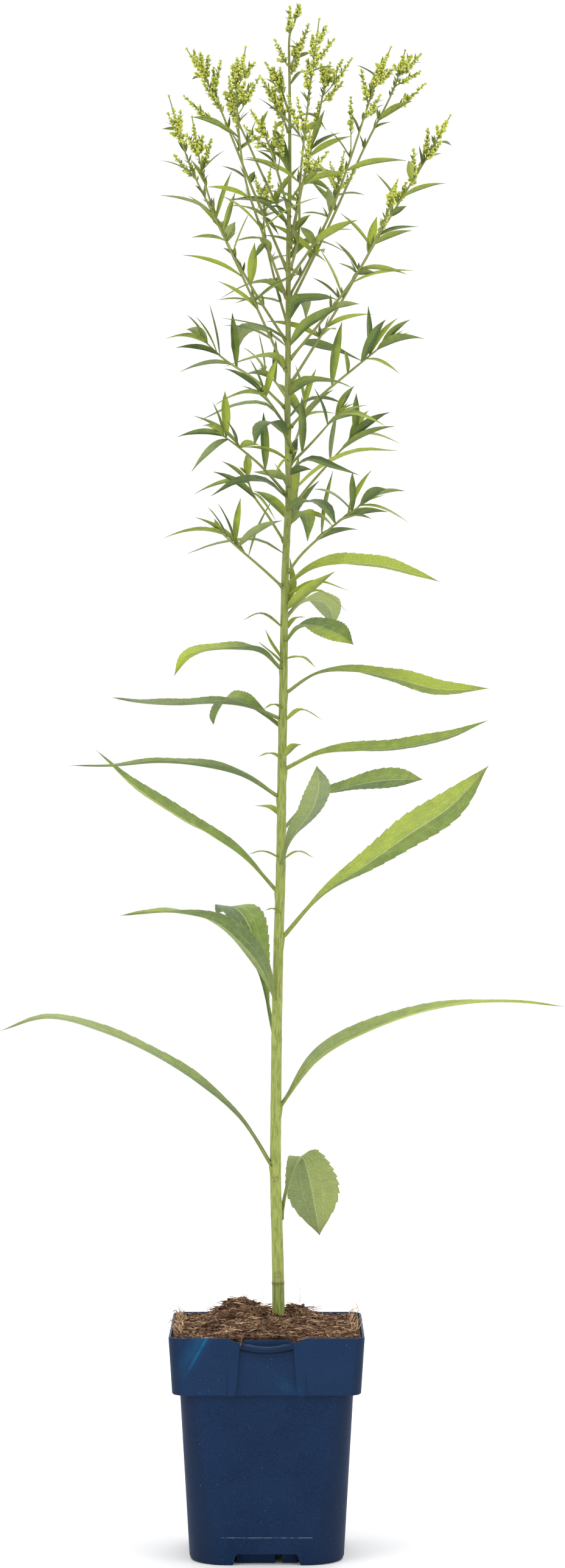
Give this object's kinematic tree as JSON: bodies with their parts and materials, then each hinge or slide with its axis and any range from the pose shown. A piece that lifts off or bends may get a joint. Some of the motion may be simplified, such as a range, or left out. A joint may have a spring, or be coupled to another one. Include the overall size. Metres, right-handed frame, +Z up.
{
  "type": "potted goldenrod",
  "caption": "Tall single-stemmed goldenrod in bud, with arching narrow leaves, leafy side shoots and flowering branches, in a square nursery pot filled with peat.",
  "frame": {"origin": "middle of the pot's underside, on the floor", "axes": "+Z up along the stem, the pot's dipped front and label lip face -Y, +X to the viewer's right"},
  "size_m": [0.3238, 0.23, 0.8841],
  "materials": {
    "pot": "satin dark blue moulded plastic",
    "peat": "loose brown peat with pale fibres",
    "stem": "smooth yellow-green stem",
    "leaf": "matt green blade",
    "shoot": "matt green young leaves",
    "flower_branch": "narrow green leaves and green-yellow buds"
  },
  "bodies": {
    "root": {"pot": "pot", "peat": "peat", "main_stem": "stem", "leaf_01": "leaf", "leaf_02": "leaf", "leaf_03": "leaf", "leaf_04": "leaf", "leaf_05": "leaf", "leaf_06": "leaf", "leaf_07": "leaf", "leaf_08": "leaf", "leaf_09": "leaf", "leaf_10": "leaf", "leaf_11": "leaf", "leaf_12": "leaf", "leaf_13": "leaf", "leaf_14": "leaf", "leaf_15": "leaf", "leaf_16": "leaf", "leaf_17": "leaf", "leaf_18": "leaf", "shoot_back_1": "shoot", "shoot_back_2": "shoot", "shoot_front": "shoot", "shoot_left_1": "shoot", "shoot_left_2": "shoot", "shoot_left_3": "shoot", "shoot_left_4": "shoot", "shoot_left_5": "shoot", "shoot_left_6": "shoot", "shoot_right_1": "shoot", "shoot_right_2": "shoot", "shoot_right_3": "shoot", "shoot_right_4": "shoot", "flower_branch_back_1": "flower_branch", "flower_branch_back_2": "flower_branch", "flower_branch_front_1": "flower_branch", "flower_branch_front_2": "flower_branch", "flower_branch_left_1": "flower_branch", "flower_branch_left_2": "flower_branch", "flower_branch_left_3": "flower_branch", "flower_branch_left_4": "flower_branch", "flower_branch_left_5": "flower_branch", "flower_branch_right_1": "flower_branch", "flower_branch_right_2": "flower_branch", "flower_branch_right_3": "flower_branch", "flower_branch_right_4": "flower_branch", "flower_branch_right_5": "flower_branch", "flower_branch_right_6": "flower_branch", "flower_branch_top_1": "flower_branch", "flower_branch_top_2": "flower_branch", "flower_branch_top_3": "flower_branch"}
  },
  "joints": []
}
